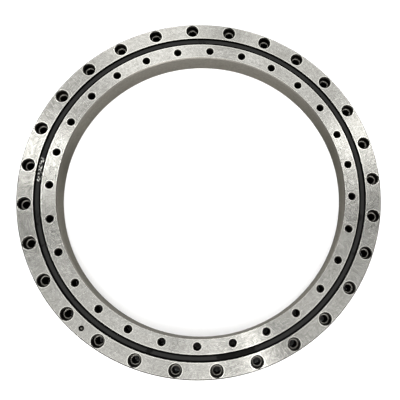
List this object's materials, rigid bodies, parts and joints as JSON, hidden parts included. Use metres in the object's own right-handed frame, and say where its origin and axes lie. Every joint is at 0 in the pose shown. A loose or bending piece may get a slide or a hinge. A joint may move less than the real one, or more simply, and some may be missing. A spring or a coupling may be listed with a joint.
{
  "type": "slewing ring bearing",
  "caption": "Thin crossed-roller slewing ring: outer and inner ring with through bolt holes, rubber seals, and rollers and spacers between two V raceways.",
  "frame": {"origin": "on the axis of rotation, in the plane of the lower faces of both rings", "axes": "+Z along the axis of rotation, up through the counterbored face of the outer ring; +X through an inner bolt hole and a grease port"},
  "size_m": [0.355, 0.355, 0.0254],
  "materials": {
    "ring_steel": "through-hardening bearing steel, faces ground, rim and bore turned",
    "hardened_steel": "hardened and ground to a bright finish",
    "screw_steel": "black oxide on alloy steel",
    "seal_rubber": "moulded nitrile rubber, semi-matt with a film of grease",
    "spacer_plastic": "injection-moulded natural polyamide"
  },
  "bodies": {
    "fixed_ring": {"outer_ring": "ring_steel", "lower_seal": "seal_rubber", "filler_plug": "ring_steel", "taper_pin": "hardened_steel", "grease_port_screw_1": "screw_steel", "grease_port_screw_2": "screw_steel", "grease_port_screw_3": "screw_steel", "grease_port_screw_4": "screw_steel"},
    "turning_ring": {"inner_ring": "ring_steel", "upper_seal": "seal_rubber"},
    "roller_train": {"spacer_01": "spacer_plastic", "spacer_02": "spacer_plastic", "spacer_03": "spacer_plastic", "spacer_04": "spacer_plastic", "spacer_05": "spacer_plastic", "spacer_06": "spacer_plastic", "spacer_07": "spacer_plastic", "spacer_08": "spacer_plastic", "spacer_09": "spacer_plastic", "spacer_10": "spacer_plastic", "spacer_11": "spacer_plastic", "spacer_12": "spacer_plastic", "spacer_13": "spacer_plastic", "spacer_14": "spacer_plastic", "spacer_15": "spacer_plastic", "spacer_16": "spacer_plastic", "spacer_17": "spacer_plastic", "spacer_18": "spacer_plastic", "spacer_19": "spacer_plastic", "spacer_20": "spacer_plastic", "spacer_21": "spacer_plastic", "spacer_22": "spacer_plastic", "spacer_23": "spacer_plastic", "spacer_24": "spacer_plastic"},
    "rolling_01": {"roller_01": "hardened_steel"},
    "rolling_02": {"roller_02": "hardened_steel"},
    "rolling_03": {"roller_03": "hardened_steel"},
    "rolling_04": {"roller_04": "hardened_steel"},
    "rolling_05": {"roller_05": "hardened_steel"},
    "rolling_06": {"roller_06": "hardened_steel"},
    "rolling_07": {"roller_07": "hardened_steel"},
    "rolling_08": {"roller_08": "hardened_steel"},
    "rolling_09": {"roller_09": "hardened_steel"},
    "rolling_10": {"roller_10": "hardened_steel"},
    "rolling_11": {"roller_11": "hardened_steel"},
    "rolling_12": {"roller_12": "hardened_steel"},
    "rolling_13": {"roller_13": "hardened_steel"},
    "rolling_14": {"roller_14": "hardened_steel"},
    "rolling_15": {"roller_15": "hardened_steel"},
    "rolling_16": {"roller_16": "hardened_steel"},
    "rolling_17": {"roller_17": "hardened_steel"},
    "rolling_18": {"roller_18": "hardened_steel"},
    "rolling_19": {"roller_19": "hardened_steel"},
    "rolling_20": {"roller_20": "hardened_steel"},
    "rolling_21": {"roller_21": "hardened_steel"},
    "rolling_22": {"roller_22": "hardened_steel"},
    "rolling_23": {"roller_23": "hardened_steel"},
    "rolling_24": {"roller_24": "hardened_steel"}
  },
  "joints": [
    {"name": "inner_ring_turn", "type": "hinge", "parent": "fixed_ring", "child": "turning_ring", "pos_m": [0, 0, 0.0127], "axis": [0, 0, 1], "continuous": true},
    {"name": "roller_train_turn", "type": "hinge", "parent": "fixed_ring", "child": "roller_train", "pos_m": [0, 0, 0.0127], "axis": [0, 0, 1], "continuous": true},
    {"name": "roller_01_spin", "type": "hinge", "parent": "roller_train", "child": "rolling_01", "pos_m": [0.159, 0, 0.0127], "axis": [0.7071, 0, 0.7071], "continuous": true},
    {"name": "roller_02_spin", "type": "hinge", "parent": "roller_train", "child": "rolling_02", "pos_m": [0.15873, 0.00924, 0.0127], "axis": [-0.7059, -0.0411, 0.7071], "continuous": true},
    {"name": "roller_03_spin", "type": "hinge", "parent": "roller_train", "child": "rolling_03", "pos_m": [0.1377, 0.0795, 0.0127], "axis": [-0.6124, -0.3536, 0.7071], "continuous": true},
    {"name": "roller_04_spin", "type": "hinge", "parent": "roller_train", "child": "rolling_04", "pos_m": [0.13284, 0.08737, 0.0127], "axis": [0.5908, 0.3886, 0.7071], "continuous": true},
    {"name": "roller_05_spin", "type": "hinge", "parent": "roller_train", "child": "rolling_05", "pos_m": [0.0795, 0.1377, 0.0127], "axis": [0.3536, 0.6124, 0.7071], "continuous": true},
    {"name": "roller_06_spin", "type": "hinge", "parent": "roller_train", "child": "rolling_06", "pos_m": [0.07136, 0.14209, 0.0127], "axis": [-0.3173, -0.6319, 0.7071], "continuous": true},
    {"name": "roller_07_spin", "type": "hinge", "parent": "roller_train", "child": "rolling_07", "pos_m": [0, 0.159, 0.0127], "axis": [0, -0.7071, 0.7071], "continuous": true},
    {"name": "roller_08_spin", "type": "hinge", "parent": "roller_train", "child": "rolling_08", "pos_m": [-0.00924, 0.15873, 0.0127], "axis": [-0.0411, 0.7059, 0.7071], "continuous": true},
    {"name": "roller_09_spin", "type": "hinge", "parent": "roller_train", "child": "rolling_09", "pos_m": [-0.0795, 0.1377, 0.0127], "axis": [-0.3536, 0.6124, 0.7071], "continuous": true},
    {"name": "roller_10_spin", "type": "hinge", "parent": "roller_train", "child": "rolling_10", "pos_m": [-0.08737, 0.13284, 0.0127], "axis": [0.3886, -0.5908, 0.7071], "continuous": true},
    {"name": "roller_11_spin", "type": "hinge", "parent": "roller_train", "child": "rolling_11", "pos_m": [-0.1377, 0.0795, 0.0127], "axis": [0.6124, -0.3536, 0.7071], "continuous": true},
    {"name": "roller_12_spin", "type": "hinge", "parent": "roller_train", "child": "rolling_12", "pos_m": [-0.14209, 0.07136, 0.0127], "axis": [-0.6319, 0.3173, 0.7071], "continuous": true},
    {"name": "roller_13_spin", "type": "hinge", "parent": "roller_train", "child": "rolling_13", "pos_m": [-0.159, 0, 0.0127], "axis": [-0.7071, 0, 0.7071], "continuous": true},
    {"name": "roller_14_spin", "type": "hinge", "parent": "roller_train", "child": "rolling_14", "pos_m": [-0.15873, -0.00924, 0.0127], "axis": [0.7059, 0.0411, 0.7071], "continuous": true},
    {"name": "roller_15_spin", "type": "hinge", "parent": "roller_train", "child": "rolling_15", "pos_m": [-0.1377, -0.0795, 0.0127], "axis": [0.6124, 0.3536, 0.7071], "continuous": true},
    {"name": "roller_16_spin", "type": "hinge", "parent": "roller_train", "child": "rolling_16", "pos_m": [-0.13284, -0.08737, 0.0127], "axis": [-0.5908, -0.3886, 0.7071], "continuous": true},
    {"name": "roller_17_spin", "type": "hinge", "parent": "roller_train", "child": "rolling_17", "pos_m": [-0.0795, -0.1377, 0.0127], "axis": [-0.3536, -0.6124, 0.7071], "continuous": true},
    {"name": "roller_18_spin", "type": "hinge", "parent": "roller_train", "child": "rolling_18", "pos_m": [-0.07136, -0.14209, 0.0127], "axis": [0.3173, 0.6319, 0.7071], "continuous": true},
    {"name": "roller_19_spin", "type": "hinge", "parent": "roller_train", "child": "rolling_19", "pos_m": [0, -0.159, 0.0127], "axis": [0, 0.7071, 0.7071], "continuous": true},
    {"name": "roller_20_spin", "type": "hinge", "parent": "roller_train", "child": "rolling_20", "pos_m": [0.00924, -0.15873, 0.0127], "axis": [0.0411, -0.7059, 0.7071], "continuous": true},
    {"name": "roller_21_spin", "type": "hinge", "parent": "roller_train", "child": "rolling_21", "pos_m": [0.0795, -0.1377, 0.0127], "axis": [0.3536, -0.6124, 0.7071], "continuous": true},
    {"name": "roller_22_spin", "type": "hinge", "parent": "roller_train", "child": "rolling_22", "pos_m": [0.08737, -0.13284, 0.0127], "axis": [-0.3886, 0.5908, 0.7071], "continuous": true},
    {"name": "roller_23_spin", "type": "hinge", "parent": "roller_train", "child": "rolling_23", "pos_m": [0.1377, -0.0795, 0.0127], "axis": [-0.6124, 0.3536, 0.7071], "continuous": true},
    {"name": "roller_24_spin", "type": "hinge", "parent": "roller_train", "child": "rolling_24", "pos_m": [0.14209, -0.07136, 0.0127], "axis": [0.6319, -0.3173, 0.7071], "continuous": true}
  ],
  "couplings": [
    {"joint": "roller_train_turn", "follows": "inner_ring_turn", "ratio": 0.49111},
    {"joint": "roller_01_spin", "follows": "inner_ring_turn", "ratio": -19.869},
    {"joint": "roller_02_spin", "follows": "inner_ring_turn", "ratio": -19.869},
    {"joint": "roller_03_spin", "follows": "inner_ring_turn", "ratio": -19.869},
    {"joint": "roller_04_spin", "follows": "inner_ring_turn", "ratio": -19.869},
    {"joint": "roller_05_spin", "follows": "inner_ring_turn", "ratio": -19.869},
    {"joint": "roller_06_spin", "follows": "inner_ring_turn", "ratio": -19.869},
    {"joint": "roller_07_spin", "follows": "inner_ring_turn", "ratio": -19.869},
    {"joint": "roller_08_spin", "follows": "inner_ring_turn", "ratio": -19.869},
    {"joint": "roller_09_spin", "follows": "inner_ring_turn", "ratio": -19.869},
    {"joint": "roller_10_spin", "follows": "inner_ring_turn", "ratio": -19.869},
    {"joint": "roller_11_spin", "follows": "inner_ring_turn", "ratio": -19.869},
    {"joint": "roller_12_spin", "follows": "inner_ring_turn", "ratio": -19.869},
    {"joint": "roller_13_spin", "follows": "inner_ring_turn", "ratio": -19.869},
    {"joint": "roller_14_spin", "follows": "inner_ring_turn", "ratio": -19.869},
    {"joint": "roller_15_spin", "follows": "inner_ring_turn", "ratio": -19.869},
    {"joint": "roller_16_spin", "follows": "inner_ring_turn", "ratio": -19.869},
    {"joint": "roller_17_spin", "follows": "inner_ring_turn", "ratio": -19.869},
    {"joint": "roller_18_spin", "follows": "inner_ring_turn", "ratio": -19.869},
    {"joint": "roller_19_spin", "follows": "inner_ring_turn", "ratio": -19.869},
    {"joint": "roller_20_spin", "follows": "inner_ring_turn", "ratio": -19.869},
    {"joint": "roller_21_spin", "follows": "inner_ring_turn", "ratio": -19.869},
    {"joint": "roller_22_spin", "follows": "inner_ring_turn", "ratio": -19.869},
    {"joint": "roller_23_spin", "follows": "inner_ring_turn", "ratio": -19.869},
    {"joint": "roller_24_spin", "follows": "inner_ring_turn", "ratio": -19.869}
  ]
}
